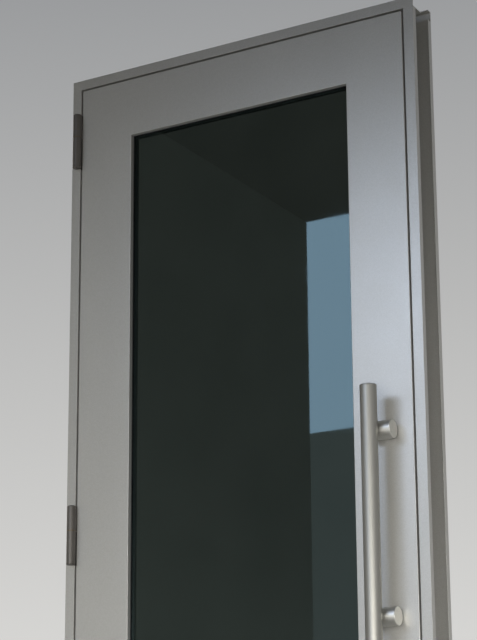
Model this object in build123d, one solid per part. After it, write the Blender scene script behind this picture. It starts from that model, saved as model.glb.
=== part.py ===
from build123d import *
import math
import os

# A glazed entrance door in its frame, in millimetres.
# X runs from the hinge side to the lock side, Y from outdoors to indoors, Z up.
# The origin is on the leaf's middle plane, at the middle of its width, on the floor.

# How far a cut runs past the face it opens
OVERCUT = 1.0

# Door leaf
LEAF_WIDTH = 900.0
LEAF_HEIGHT = 2300.0
LEAF_THICKNESS = 40.0
HINGE_STILE = 148.0
LOCK_STILE = 148.0
TOP_RAIL = 150.0
BOTTOM_RAIL = 300.0
SKIN = 1.6
FOLD_RADIUS = 1.2
CHANNEL_SHEET = 2.3
CHANNEL_LEG = 25.0

# Gaps around the leaf
SIDE_GAP = 5.0
TOP_GAP = 5.0
BOTTOM_GAP = 6.0

# Frame, a sheet folded to a hat section
FRAME_DEPTH = 100.0
FRAME_FACE = 25.0
FRAME_SHEET = 1.6
FRAME_LIP = 15.0
STOP_HEIGHT = 15.0
SILL_TREAD = 12.0
SEAL_ROOM = 4.0
SEAL_WIDTH = 8.0
SEAL_CLEARANCE = 0.3
FIXING_HOLE = 9.0
FIXING_COUNT = 4
FIXING_LOWEST = 280.0
FIXING_BELOW_HEAD = 243.0

# Glazing
REVEAL = 12.0
GASKET = 3.0
GLASS_THICKNESS = 8.0
GLASS_BITE = 8.0
POCKET = 12.0
BEAD_WALL = 1.2
BEAD_SCREW_PITCH = 300.0
BEAD_SCREW = 3.5
BEAD_HEAD = 6.5
BEAD_HEAD_DEPTH = 0.8
BEAD_SCREW_LENGTH = 16.0
BLOCK_LENGTH = 80.0
BLOCK_INSET = 90.0

# Flag hinges
HINGE_TOP_INSET = 140.0
HINGE_BOTTOM_INSET = 130.0
HINGE_COUNT = 3
KNUCKLE = 22.0
KNUCKLE_LEAF = 60.0
KNUCKLE_FRAME = 82.0
HINGE_WASHER = 2.0
WASHER = 21.0
PIN = 12.0
PIN_SEAT = 48.0
PIN_RISE = 44.0
RUNNING_FIT = 0.05
PIVOT_OUT = 8.0
PIVOT_PROUD = 12.0
HINGE_PLATE = 3.5
HINGE_PLATE_DEPTH = 34.0
HINGE_END_CHAMFER = 1.5
BACKING = 4.5
BACKING_LENGTH = 160.0
BACKING_WIDTH = 30.0

# Countersunk screws of the hinges, the strike and the lock
SCREW = 5.0
SCREW_HEAD = 9.0
SCREW_HEAD_DEPTH = 2.2
SCREW_LENGTH = 12.0
HINGE_SCREWS = 3
SCREW_END_MARGIN = 13.0
SCREW_STAGGER = 7.0
SCREW_ROW = 17.0

# Pull handles
BAR = 38.0
BAR_WALL = 3.0
BAR_LENGTH = 610.0
BAR_STANDOFF = 62.0
BAR_FROM_EDGE = 79.0
BAR_MIDDLE = 1086.0
BAR_END_RADIUS = 1.5
POST_FROM_END = 97.5
BARREL = 42.0
BARREL_STANDOFF = 24.0
BARREL_INNER_END = 94.0
BARREL_OUTER_END = 38.0
BARREL_END_RADIUS = 1.5
FOOT = 30.0
STUD = 10.0
STUD_DEPTH = 16.0
STUD_ROOM = 1.0
SPACER_WALL = 2.5
BAR_SCREW = 6.0
BAR_SCREW_HEAD = 10.0
BAR_SCREW_HEAD_DEPTH = 6.0
BAR_SCREW_SEAT = 18.0
BAR_SCREW_TIP = 9.0

# Deadlock
LOCK_HEIGHT = 640.0
BACKSET = 40.0
CASE_HEIGHT = 100.0
CASE_DEPTH = 66.0
CASE_THICKNESS = 16.0
CASE_WALL = 1.5
PLATE_HEIGHT = 150.0
PLATE_WIDTH = 22.0
BOLT_HEIGHT = 28.0
BOLT_THICKNESS = 11.0
BOLT_NOSE = 24.0
BOLT_THROW = 20.0
BOLT_SHY = 0.5
TAIL_THICKNESS = 6.0
TAIL_HEIGHT = 12.0
TAIL_BEHIND = 8.0
CAM_HUB = 16.0
CAM_PIN = 6.0
CAM_ARM = 2.8
CAM_SLOT_CLEARANCE = 0.7
CAM_REST_ANGLE = 45.0
SPINDLE = 5.0
SPINDLE_HOLE = 10.0
PLUG_TAIL = 4.0
PLUG_TAIL_LENGTH = 6.0
TAIL_FIT = 0.15
LOCK_CLEARANCE = 0.3
ROSE = 46.0
ROSE_THICKNESS = 7.0
TURN_DISC = 26.0
TURN_DISC_THICKNESS = 4.0
TURN_GRIP_LENGTH = 34.0
TURN_GRIP_THICKNESS = 9.0
TURN_GRIP_HEIGHT = 16.0
COLLAR = 36.0
COLLAR_HEIGHT = 9.0
COLLAR_CHAMFER = 4.0
CYLINDER = 24.0
PLUG = 13.0
KEYWAY_WIDTH = 1.4
KEYWAY_HEIGHT = 8.0
KEYWAY_DEPTH = 18.0
STRIKE_SHEET = 1.5
STRIKE_ROOM = 1.0
DUST_BOX_WALL = 1.0
DUST_BOX_DEPTH = 21.0

# Planes worked out from the sizes above
LEFT = -LEAF_WIDTH / 2
RIGHT = LEAF_WIDTH / 2
FRONT = -LEAF_THICKNESS / 2
BACK = LEAF_THICKNESS / 2
LEAF_BOTTOM = SILL_TREAD + BOTTOM_GAP
LEAF_TOP = LEAF_BOTTOM + LEAF_HEIGHT
HEAD_LINE = LEAF_TOP + TOP_GAP
WEB_X = LEAF_WIDTH / 2 + SIDE_GAP
REBATE = LEAF_THICKNESS + SEAL_ROOM
OPEN_LEFT = LEFT + HINGE_STILE
OPEN_RIGHT = RIGHT - LOCK_STILE
OPEN_BOTTOM = LEAF_BOTTOM + BOTTOM_RAIL
OPEN_TOP = LEAF_TOP - TOP_RAIL
GLASS_FRONT = FRONT + REVEAL + GASKET
GLASS_BACK = GLASS_FRONT + GLASS_THICKNESS
BEAD_FRONT = GLASS_BACK + GASKET
PIVOT_X = LEFT - PIVOT_OUT
PIVOT_Y = FRONT - PIVOT_PROUD
BAR_X = RIGHT - BAR_FROM_EDGE
BAR_Y = FRONT - BAR_STANDOFF
BAR_Z = LEAF_BOTTOM + BAR_MIDDLE
STUD_X = RIGHT - (BARREL_INNER_END + BARREL_OUTER_END) / 2
LOCK_Z = LEAF_BOTTOM + LOCK_HEIGHT
SPINDLE_X = RIGHT - BACKSET
CAM_RADIUS = BOLT_THROW / 2 / math.sin(math.radians(CAM_REST_ANGLE))
CAM_FRONT = CASE_WALL + LOCK_CLEARANCE - CASE_THICKNESS / 2
STUD_HOLE = STUD + STUD_ROOM
PIN_BORE = PIN + RUNNING_FIT * 2
SPACER = STUD_HOLE + SPACER_WALL * 2
COLLAR_FACE = FRONT - COLLAR_HEIGHT
CASE_FACE = -CASE_THICKNESS / 2


def box(x0, x1, y0, y1, z0, z1):
    """A block between two corners."""
    middle = ((x0 + x1) / 2, (y0 + y1) / 2, (z0 + z1) / 2)
    return Pos(*middle) * Box(x1 - x0, y1 - y0, z1 - z0)


def rod(start, end, diameter):
    """A round rod from one point to another, along X, Y or Z."""
    start, end = Vector(*start), Vector(*end)
    way = end - start
    plane = Plane(origin=start, z_dir=way.normalized())
    return extrude(plane * Circle(diameter / 2), amount=way.length)


def around_opening(outer, inner, y0, y1):
    """A flat ring round the glazed opening, between two margins outside its edge."""
    def slab(margin):
        return box(OPEN_LEFT - margin, OPEN_RIGHT + margin, y0, y1,
                   OPEN_BOTTOM - margin, OPEN_TOP + margin)
    return slab(outer) - slab(inner)


def as_cutter(pieces):
    """Pieces that are to be cut from another one, each as its own solid."""
    return Compound(children=list(pieces.solids()))


def group(pieces):
    """Separate solids kept in one node."""
    return Compound(children=[solid for piece in pieces for solid in piece.solids()])


def evenly(first, last, count):
    """Evenly spaced values with both ends kept."""
    return [first + (last - first) * index / (count - 1) for index in range(count)]


def hinge_heights():
    """The middle of each hinge, from the top one down."""
    return evenly(LEAF_TOP - HINGE_TOP_INSET, LEAF_BOTTOM + HINGE_BOTTOM_INSET, HINGE_COUNT)


def post_heights():
    """The two heights at which a pull bar is carried."""
    reach = BAR_LENGTH / 2 - POST_FROM_END
    return [BAR_Z - reach, BAR_Z + reach]


def screw(head_at, way, length=SCREW_LENGTH, size=SCREW, head=SCREW_HEAD, depth=SCREW_HEAD_DEPTH):
    """A countersunk screw whose head is flush at one point and whose shank runs along way."""
    head_at, way = Vector(*head_at), Vector(*way)
    plane = Plane(origin=head_at, z_dir=way)
    cone = Solid.make_cone(head / 2, size / 2, depth, plane)
    shank = extrude(plane * Circle(size / 2), amount=length)
    return cone + shank


# Frame

def hat_section(face):
    """Corners of the folded sheet: outward from the opening, then in from the front."""
    t = FRAME_SHEET
    seen = [(face, FRAME_LIP), (face, 0), (0, 0), (0, REBATE), (-STOP_HEIGHT, REBATE),
            (-STOP_HEIGHT, FRAME_DEPTH), (face, FRAME_DEPTH), (face, FRAME_DEPTH - FRAME_LIP)]
    hidden = [(face - t, FRAME_DEPTH - FRAME_LIP), (face - t, FRAME_DEPTH - t),
              (t - STOP_HEIGHT, FRAME_DEPTH - t), (t - STOP_HEIGHT, REBATE + t), (t, REBATE + t),
              (t, t), (face - t, t), (face - t, FRAME_LIP)]
    return seen + hidden


def jamb(side):
    """An upright of the frame; side is -1 at the hinges and 1 at the lock."""
    corners = [(side * (WEB_X + out), FRONT + deep) for out, deep in hat_section(FRAME_FACE)]
    upright = extrude(Polygon(*corners, align=None), amount=HEAD_LINE, dir=(0, 0, 1))
    for height in fixing_heights():
        upright -= rod((side * (WEB_X - OVERCUT), 0, height),
                       (side * (WEB_X + FRAME_SHEET + OVERCUT), 0, height), FIXING_HOLE)
    return upright


def fixing_heights():
    return evenly(FIXING_LOWEST, HEAD_LINE - FIXING_BELOW_HEAD, FIXING_COUNT)


def hinge_jamb():
    return jamb(-1) - as_cutter(frame_screws())


def lock_jamb():
    way = bolt_hole(WEB_X - OVERCUT, WEB_X + FRAME_SHEET + OVERCUT, STRIKE_ROOM)
    return jamb(1) - way - as_cutter(frame_screws())


def head():
    corners = [(FRONT + deep, HEAD_LINE + out) for out, deep in hat_section(FRAME_FACE)]
    beam = extrude(Plane.YZ * Polygon(*corners, align=None), amount=WEB_X + FRAME_FACE, both=True)
    return beam - jamb_stop_room(HEAD_LINE - STOP_HEIGHT * 2, HEAD_LINE)


def sill():
    corners = [(FRONT + deep, SILL_TREAD - out) for out, deep in hat_section(SILL_TREAD)]
    beam = extrude(Plane.YZ * Polygon(*corners, align=None), amount=WEB_X, both=True)
    return beam - jamb_stop_room(-SILL_TREAD, SILL_TREAD + STOP_HEIGHT * 2)


def jamb_stop_room(z0, z1):
    """What the stops of the two jambs take out of the head and the sill."""
    inside = WEB_X - STOP_HEIGHT
    rooms = [box(*sorted((side * inside, side * (WEB_X + FRAME_FACE * 2))),
                 FRONT + REBATE, FRONT + FRAME_DEPTH * 2, z0, z1) for side in (-1, 1)]
    return rooms[0] + rooms[1]


def side_seal(side):
    """The strip on an upright's stop, just clear of the closed leaf."""
    middle = side * (WEB_X - STOP_HEIGHT / 2 - SEAL_CLEARANCE)
    stop = FRONT + REBATE
    return box(middle - SEAL_WIDTH / 2, middle + SEAL_WIDTH / 2, BACK + SEAL_CLEARANCE, stop,
               SILL_TREAD + STOP_HEIGHT, HEAD_LINE - STOP_HEIGHT)


def cross_seal(z0, z1):
    """The strip on the head's or the sill's stop."""
    half = WEB_X - STOP_HEIGHT
    middle = (z0 + z1) / 2
    return box(-half, half, BACK + SEAL_CLEARANCE, FRONT + REBATE,
               middle - SEAL_WIDTH / 2, middle + SEAL_WIDTH / 2)


# Leaf

def front_skin():
    """A tray with the window opening, its reveal and the seat of the outer gasket."""
    block = box(LEFT, RIGHT, FRONT, BACK - SKIN, LEAF_BOTTOM, LEAF_TOP)
    block = fillet(block.faces().sort_by(Axis.Y)[0].edges(), FOLD_RADIUS)
    tray = block - box(LEFT + SKIN, RIGHT - SKIN, FRONT + SKIN, BACK,
                       LEAF_BOTTOM + SKIN, LEAF_TOP - SKIN)
    tray += around_opening(SKIN, 0, FRONT, FRONT + REVEAL)
    tray += around_opening(POCKET, 0, FRONT + REVEAL - SKIN, FRONT + REVEAL)
    tray -= box(OPEN_LEFT, OPEN_RIGHT, FRONT - SKIN, FRONT + REVEAL + SKIN, OPEN_BOTTOM, OPEN_TOP)
    face = tray.faces().filter_by(Axis.Y).sort_by(Axis.Y)[0]
    tray = fillet(face.inner_wires().edges(), FOLD_RADIUS)
    for height in post_heights():
        tray -= stud_hole(height)
    tray -= lock_rod(FRONT - OVERCUT, FRONT + SKIN + OVERCUT, CYLINDER + LOCK_CLEARANCE * 2)
    tray -= face_plate(LOCK_CLEARANCE)
    return tray - as_cutter(leaf_screws())


def back_skin():
    """A flat sheet that closes the tray, cut out for the glazing beads."""
    sheet = box(LEFT, RIGHT, BACK - SKIN, BACK, LEAF_BOTTOM, LEAF_TOP)
    sheet -= box(OPEN_LEFT - POCKET, OPEN_RIGHT + POCKET, BACK - SKIN * 2, BACK + SKIN,
                 OPEN_BOTTOM - POCKET, OPEN_TOP + POCKET)
    for height in post_heights():
        sheet -= stud_hole(height)
    return sheet - lock_rod(BACK - SKIN - OVERCUT, BACK + OVERCUT, SPINDLE_HOLE)


def channel(x0, x1, z0, z1, web):
    """A channel between the skins, with its web on the named side."""
    y0, y1, t = FRONT + SKIN, BACK - SKIN, CHANNEL_SHEET
    inner = {"left": (x0 + t, x1, z0, z1), "right": (x0, x1 - t, z0, z1),
             "top": (x0, x1, z0, z1 - t), "bottom": (x0, x1, z0 + t, z1)}[web]
    return box(x0, x1, y0, y1, z0, z1) - box(inner[0], inner[1], y0 + t, y1 - t, inner[2], inner[3])


def channels():
    """The eight channels inside the leaf, by node name."""
    left, right = LEFT + SKIN, RIGHT - SKIN
    low, high = LEAF_BOTTOM + SKIN, LEAF_TOP - SKIN
    leg = CHANNEL_LEG
    pane_left, pane_right = OPEN_LEFT - POCKET, OPEN_RIGHT + POCKET
    pane_low, pane_high = OPEN_BOTTOM - POCKET, OPEN_TOP + POCKET
    holes = as_cutter(leaf_screws())
    lock_side = channel(right - leg, right, low, high, "right") - lock_case_block(LOCK_CLEARANCE)
    return {
        "hinge_side_channel": channel(left, left + leg, low, high, "left") - holes,
        "lock_side_channel": lock_side - holes,
        "top_channel": channel(left + leg, right - leg, high - leg, high, "top"),
        "bottom_channel": channel(left + leg, right - leg, low, low + leg, "bottom"),
        "window_channel_left": channel(pane_left - leg, pane_left, low + leg, high - leg, "right")
        - as_cutter(bead_screws()),
        "window_channel_right": channel(pane_right, pane_right + leg, low + leg, high - leg, "left")
        - as_cutter(bead_screws()),
        "window_channel_head": channel(pane_left, pane_right, pane_high, pane_high + leg, "bottom")
        - as_cutter(bead_screws()),
        "window_channel_sill": channel(pane_left, pane_right, pane_low - leg, pane_low, "top")
        - as_cutter(bead_screws()),
    }


# Glazing

def glass_pane():
    return box(OPEN_LEFT - GLASS_BITE, OPEN_RIGHT + GLASS_BITE, GLASS_FRONT, GLASS_BACK,
               OPEN_BOTTOM - GLASS_BITE, OPEN_TOP + GLASS_BITE)


def bead(side):
    """A hollow glazing bead; the upright ones stand between the level ones."""
    whole = {
        "left": (OPEN_LEFT - POCKET, OPEN_LEFT, OPEN_BOTTOM, OPEN_TOP),
        "right": (OPEN_RIGHT, OPEN_RIGHT + POCKET, OPEN_BOTTOM, OPEN_TOP),
        "top": (OPEN_LEFT - POCKET, OPEN_RIGHT + POCKET, OPEN_TOP, OPEN_TOP + POCKET),
        "bottom": (OPEN_LEFT - POCKET, OPEN_RIGHT + POCKET, OPEN_BOTTOM - POCKET, OPEN_BOTTOM),
    }[side]
    x0, x1, z0, z1 = whole
    t = BEAD_WALL
    outer = box(x0, x1, BEAD_FRONT, BACK, z0, z1)
    if side in ("left", "right"):
        inner = box(x0 + t, x1 - t, BEAD_FRONT + t, BACK - t, z0, z1)
    else:
        inner = box(x0, x1, BEAD_FRONT + t, BACK - t, z0 + t, z1 - t)
    return outer - inner - as_cutter(bead_screws())


def bead_screw_places():
    """Head position and direction of every bead screw."""
    y = (BEAD_FRONT + BACK) / 2
    places = []
    tall = OPEN_TOP - OPEN_BOTTOM
    rows = max(2, int(tall // BEAD_SCREW_PITCH))
    for index in range(rows):
        z = OPEN_BOTTOM + tall * (index + 0.5) / rows
        places.append(((OPEN_LEFT, y, z), (-1, 0, 0)))
        places.append(((OPEN_RIGHT, y, z), (1, 0, 0)))
    wide = OPEN_RIGHT - OPEN_LEFT
    columns = max(2, int(wide // BEAD_SCREW_PITCH))
    for index in range(columns):
        x = OPEN_LEFT + wide * (index + 0.5) / columns
        places.append(((x, y, OPEN_TOP), (0, 0, 1)))
        places.append(((x, y, OPEN_BOTTOM), (0, 0, -1)))
    return places


def bead_screws():
    return group([screw(at, way, BEAD_SCREW_LENGTH, BEAD_SCREW, BEAD_HEAD, BEAD_HEAD_DEPTH)
                  for at, way in bead_screw_places()])


def setting_blocks():
    blocks = []
    for x in (OPEN_LEFT + BLOCK_INSET, OPEN_RIGHT - BLOCK_INSET):
        blocks.append(box(x - BLOCK_LENGTH / 2, x + BLOCK_LENGTH / 2, GLASS_FRONT, GLASS_BACK,
                          OPEN_BOTTOM - POCKET, OPEN_BOTTOM - GLASS_BITE))
    return group(blocks)


# Hinges

def knuckle_split(height):
    """Where the upper knuckle ends, for a hinge centred at this height."""
    whole = KNUCKLE_LEAF + HINGE_WASHER + KNUCKLE_FRAME
    return height + whole / 2 - KNUCKLE_LEAF


def frame_hinge_leaf(height):
    """The lower knuckle and its plate on the jamb."""
    top = knuckle_split(height) - HINGE_WASHER
    low = top - KNUCKLE_FRAME
    knuckle = rod((PIVOT_X, PIVOT_Y, low), (PIVOT_X, PIVOT_Y, top), KNUCKLE)
    knuckle = chamfer(knuckle.edges().group_by(Axis.Z)[0], HINGE_END_CHAMFER)
    plate = box(-WEB_X, -WEB_X + HINGE_PLATE, PIVOT_Y, FRONT + HINGE_PLATE_DEPTH, low, top)
    leaf = knuckle + plate - rod((PIVOT_X, PIVOT_Y, top - PIN_SEAT), (PIVOT_X, PIVOT_Y, top + OVERCUT), PIN)
    for y, z in frame_plate_screws(height):
        leaf -= screw((-WEB_X + HINGE_PLATE, y, z), (-1, 0, 0))
    return leaf


def leaf_hinge_leaf(height):
    """The upper knuckle, bored from below, and its plate on the leaf's edge."""
    low = knuckle_split(height)
    top = low + KNUCKLE_LEAF
    knuckle = rod((PIVOT_X, PIVOT_Y, low), (PIVOT_X, PIVOT_Y, top), KNUCKLE)
    knuckle = chamfer(knuckle.edges().group_by(Axis.Z)[-1], HINGE_END_CHAMFER)
    plate = box(LEFT - HINGE_PLATE, LEFT, PIVOT_Y, FRONT + HINGE_PLATE_DEPTH, low, top)
    bore = rod((PIVOT_X, PIVOT_Y, low - OVERCUT), (PIVOT_X, PIVOT_Y, low + PIN_RISE), PIN_BORE)
    leaf = knuckle + plate - bore
    for y, z in leaf_plate_screws(height):
        leaf -= screw((LEFT - HINGE_PLATE, y, z), (1, 0, 0))
    return leaf


def hinge_pin(height):
    """The pin, pressed into the lower knuckle."""
    base = knuckle_split(height) - HINGE_WASHER
    return rod((PIVOT_X, PIVOT_Y, base - PIN_SEAT), (PIVOT_X, PIVOT_Y, base + PIN_RISE), PIN)


def hinge_washer(height):
    """The ring between the knuckles, a hair below the one that turns."""
    top = knuckle_split(height)
    base = top - HINGE_WASHER
    ring = rod((PIVOT_X, PIVOT_Y, base), (PIVOT_X, PIVOT_Y, top - RUNNING_FIT), WASHER)
    return ring - rod((PIVOT_X, PIVOT_Y, base - OVERCUT), (PIVOT_X, PIVOT_Y, top + OVERCUT), PIN_BORE)


def plate_rows(low, high):
    """Screw places on a hinge plate, in a shallow zigzag."""
    y = FRONT + SCREW_ROW
    places = []
    for index, z in enumerate(evenly(low + SCREW_END_MARGIN, high - SCREW_END_MARGIN, HINGE_SCREWS)):
        places.append((y + (SCREW_STAGGER if index % 2 else -SCREW_STAGGER), z))
    return places


def frame_plate_screws(height):
    top = knuckle_split(height) - HINGE_WASHER
    return plate_rows(top - KNUCKLE_FRAME, top)


def leaf_plate_screws(height):
    low = knuckle_split(height)
    return plate_rows(low, low + KNUCKLE_LEAF)


def frame_hinge_backing():
    """Plates welded inside the hinge jamb, tapped for the hinge screws."""
    plates = []
    x1 = -WEB_X - FRAME_SHEET
    for height in hinge_heights():
        plate = box(x1 - BACKING, x1, FRONT + FRAME_SHEET, FRONT + FRAME_SHEET + BACKING_WIDTH,
                    height - BACKING_LENGTH / 2, height + BACKING_LENGTH / 2)
        for y, z in frame_plate_screws(height):
            plate -= rod((x1 + OVERCUT, y, z), (x1 - BACKING - OVERCUT, y, z), SCREW)
        plates.append(plate)
    return group(plates)


def leaf_hinge_backing():
    """Plates inside the hinge side channel, tapped for the hinge screws."""
    plates = []
    x0 = LEFT + SKIN + CHANNEL_SHEET
    y0 = FRONT + SKIN + CHANNEL_SHEET
    for height in hinge_heights():
        plate = box(x0, x0 + BACKING, y0, y0 + BACKING_WIDTH,
                    height - BACKING_LENGTH / 2, height + BACKING_LENGTH / 2)
        for y, z in leaf_plate_screws(height):
            plate -= rod((x0 - OVERCUT, y, z), (x0 + BACKING + OVERCUT, y, z), SCREW)
        plates.append(plate)
    return group(plates)


def frame_screws():
    """Hinge screws in the jamb and the two of the strike plate."""
    made = [screw((-WEB_X + HINGE_PLATE, y, z), (-1, 0, 0))
            for height in hinge_heights() for y, z in frame_plate_screws(height)]
    made += [screw((WEB_X - STRIKE_SHEET, 0, z), (1, 0, 0)) for z in plate_screw_heights()]
    return group(made)


def leaf_screws():
    """Hinge screws in the leaf and the two of the lock's face plate."""
    made = [screw((LEFT - HINGE_PLATE, y, z), (1, 0, 0))
            for height in hinge_heights() for y, z in leaf_plate_screws(height)]
    made += [screw((RIGHT, 0, z), (-1, 0, 0)) for z in plate_screw_heights()]
    return group(made)


# Pull handles, made on the outside and mirrored for the inside

def pull_bar():
    """A tube with its ends closed and ground smooth."""
    low, high = BAR_Z - BAR_LENGTH / 2, BAR_Z + BAR_LENGTH / 2
    tube = rod((BAR_X, BAR_Y, low), (BAR_X, BAR_Y, high), BAR)
    tube = fillet(tube.edges().filter_by(GeomType.CIRCLE), BAR_END_RADIUS)
    tube -= rod((BAR_X, BAR_Y, low + BAR_WALL), (BAR_X, BAR_Y, high - BAR_WALL), BAR - BAR_WALL * 2)
    for height in post_heights():
        tube -= rod((BAR_X, BAR_Y, height), (BAR_X, FRONT, height), BAR_SCREW)
    return tube


def barrel_post(height):
    """A round barrel that lies along X, with a foot on the leaf and a seat for the bar."""
    y = FRONT - BARREL_STANDOFF
    barrel = rod((RIGHT - BARREL_INNER_END, y, height), (RIGHT - BARREL_OUTER_END, y, height), BARREL)
    barrel = fillet(barrel.edges().filter_by(GeomType.CIRCLE), BARREL_END_RADIUS)
    barrel += rod((STUD_X, FRONT, height), (STUD_X, y, height), FOOT)
    barrel -= rod((BAR_X, BAR_Y, height - BARREL), (BAR_X, BAR_Y, height + BARREL), BAR)
    barrel -= rod((STUD_X, FRONT + OVERCUT, height), (STUD_X, FRONT - STUD_DEPTH, height), STUD)
    return barrel - bar_screw(height)


def bar_screw(height):
    """The hidden screw from the barrel's back into the bar."""
    seat = FRONT - BAR_SCREW_SEAT
    tip = BAR_Y + BAR / 2 - BAR_SCREW_TIP
    head = rod((BAR_X, seat + BAR_SCREW_HEAD_DEPTH, height), (BAR_X, seat, height), BAR_SCREW_HEAD)
    return head + rod((BAR_X, seat, height), (BAR_X, tip, height), BAR_SCREW)


def indoors(piece):
    """The same piece on the other face of the leaf."""
    return mirror(piece, about=Plane.XZ)


def bar_screws():
    outer = [bar_screw(height) for height in post_heights()]
    return group(outer + [indoors(piece) for piece in outer])


def through_studs():
    reach = BACK + STUD_DEPTH
    return group([rod((STUD_X, -reach, height), (STUD_X, reach, height), STUD)
                  for height in post_heights()])


def stud_hole(height):
    """The way of a stud through the leaf."""
    return rod((STUD_X, FRONT - OVERCUT, height), (STUD_X, BACK + OVERCUT, height), STUD_HOLE)


def spacer_tubes():
    """Tubes round the studs that keep the skins apart."""
    tubes = []
    for height in post_heights():
        tube = rod((STUD_X, FRONT + SKIN, height), (STUD_X, BACK - SKIN, height), SPACER)
        tubes.append(tube - stud_hole(height))
    return group(tubes)


# Deadlock

def plate_screw_heights():
    reach = PLATE_HEIGHT / 2 - SCREW_END_MARGIN
    return [LOCK_Z - reach, LOCK_Z + reach]


def bolt_hole(x0, x1, room):
    """The bolt's way through a plate."""
    return box(x0, x1, -BOLT_THICKNESS / 2 - room, BOLT_THICKNESS / 2 + room,
               LOCK_Z - BOLT_HEIGHT / 2 - room, LOCK_Z + BOLT_HEIGHT / 2 + room)


def face_plate(room=0.0):
    return box(RIGHT - SKIN, RIGHT, -PLATE_WIDTH / 2 - room, PLATE_WIDTH / 2 + room,
               LOCK_Z - PLATE_HEIGHT / 2 - room, LOCK_Z + PLATE_HEIGHT / 2 + room)


def lock_face_plate():
    plate = face_plate() - bolt_hole(RIGHT - SKIN * 2, RIGHT + SKIN, LOCK_CLEARANCE)
    return plate - as_cutter(leaf_screws())


def lock_case_block(room=0.0):
    return box(RIGHT - SKIN - CASE_DEPTH, RIGHT - SKIN, -CASE_THICKNESS / 2 - room,
               CASE_THICKNESS / 2 + room, LOCK_Z - CASE_HEIGHT / 2 - room,
               LOCK_Z + CASE_HEIGHT / 2 + room)


def lock_case():
    """A pressed box round the bolt and the cam, open towards the face plate."""
    t = CASE_WALL
    case = lock_case_block()
    case -= box(RIGHT - SKIN - CASE_DEPTH + t, RIGHT - SKIN + OVERCUT, CASE_FACE + t,
                -CASE_FACE - t, LOCK_Z - CASE_HEIGHT / 2 + t, LOCK_Z + CASE_HEIGHT / 2 - t)
    return case - lock_rod(CASE_FACE - OVERCUT, OVERCUT - CASE_FACE, SPINDLE_HOLE)


def lock_rod(start, end, diameter):
    """A round rod on the lock's turning axis."""
    return rod((SPINDLE_X, start, LOCK_Z), (SPINDLE_X, end, LOCK_Z), diameter)


def lock_bar(start, end, width):
    """A square bar on the lock's turning axis."""
    half = width / 2
    return box(SPINDLE_X - half, SPINDLE_X + half, start, end, LOCK_Z - half, LOCK_Z + half)


def cam_pin_at():
    """The cam's pin with the bolt drawn back."""
    angle = math.radians(CAM_REST_ANGLE)
    return SPINDLE_X - CAM_RADIUS * math.sin(angle), LOCK_Z + CAM_RADIUS * math.cos(angle)


def deadbolt():
    """The bolt's nose, and a tail over the cam with a notch for its pin."""
    nose = RIGHT - BOLT_SHY
    block = box(nose - BOLT_NOSE, nose, -BOLT_THICKNESS / 2, BOLT_THICKNESS / 2,
                LOCK_Z - BOLT_HEIGHT / 2, LOCK_Z + BOLT_HEIGHT / 2)
    pin_x, pin_z = cam_pin_at()
    low = LOCK_Z + CAM_HUB / 2 + CAM_SLOT_CLEARANCE
    tail = box(pin_x - TAIL_BEHIND, nose - BOLT_NOSE, -TAIL_THICKNESS / 2, TAIL_THICKNESS / 2,
               low, low + TAIL_HEIGHT)
    half = CAM_PIN / 2 + CAM_SLOT_CLEARANCE
    reach = LOCK_Z + CAM_RADIUS + half
    return block + tail - box(pin_x - half, pin_x + half, -TAIL_THICKNESS, TAIL_THICKNESS,
                              low - OVERCUT, reach)


def lock_cam():
    """Hub, arm, pin and the square spindle that the thumb turn drives."""
    cam_back = -CAM_FRONT
    arm_front = cam_back - CAM_ARM
    pin_x, pin_z = cam_pin_at()
    pin = rod((pin_x, -TAIL_THICKNESS / 2, pin_z), (pin_x, cam_back, pin_z), CAM_PIN)
    middle = Pos((SPINDLE_X + pin_x) / 2, (arm_front + cam_back) / 2, (LOCK_Z + pin_z) / 2)
    arm = middle * Rot(0, -CAM_REST_ANGLE, 0) * Box(CAM_PIN, CAM_ARM, CAM_RADIUS)
    cam = lock_rod(CAM_FRONT, cam_back, CAM_HUB) + pin + arm + lock_bar(0, spindle_end(), SPINDLE)
    return cam - lock_bar(CAM_FRONT - OVERCUT, tail_end() + TAIL_FIT, PLUG_TAIL + TAIL_FIT * 2)


def spindle_end():
    return BACK + ROSE_THICKNESS + TURN_DISC_THICKNESS


def thumb_turn():
    """The knob indoors: a disc with a flat grip that stands upright when unlocked."""
    start = BACK + ROSE_THICKNESS + RUNNING_FIT
    grip_end = spindle_end() + TURN_GRIP_HEIGHT
    half_length, half_thickness = TURN_GRIP_LENGTH / 2, TURN_GRIP_THICKNESS / 2
    grip = box(SPINDLE_X - half_thickness, SPINDLE_X + half_thickness, spindle_end(), grip_end,
               LOCK_Z - half_length, LOCK_Z + half_length)
    grip = fillet(grip.edges().filter_by(Axis.Y), TURN_GRIP_THICKNESS / 3)
    grip = fillet(grip.faces().sort_by(Axis.Y)[-1].edges(), TURN_GRIP_THICKNESS / 6)
    disc = lock_rod(start, spindle_end(), TURN_DISC) - lock_bar(start - OVERCUT, spindle_end(), SPINDLE)
    return disc + grip


def inner_rose():
    rose = lock_rod(BACK, BACK + ROSE_THICKNESS, ROSE)
    rose = fillet(rose.edges().group_by(Axis.Y)[-1], ROSE_THICKNESS / 3)
    return rose - lock_rod(BACK - OVERCUT, BACK + ROSE_THICKNESS + OVERCUT, SPINDLE_HOLE)


def key_cylinder():
    """The barrel of the lock and its collar outdoors."""
    collar = lock_rod(FRONT, COLLAR_FACE, COLLAR)
    collar = chamfer(collar.edges().group_by(Axis.Y)[0], COLLAR_CHAMFER)
    whole = collar + lock_rod(FRONT, CASE_FACE, CYLINDER)
    return whole - lock_rod(COLLAR_FACE - OVERCUT, CASE_FACE + OVERCUT, PLUG + RUNNING_FIT * 2)


def tail_end():
    return CASE_FACE - RUNNING_FIT + PLUG_TAIL_LENGTH


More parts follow.
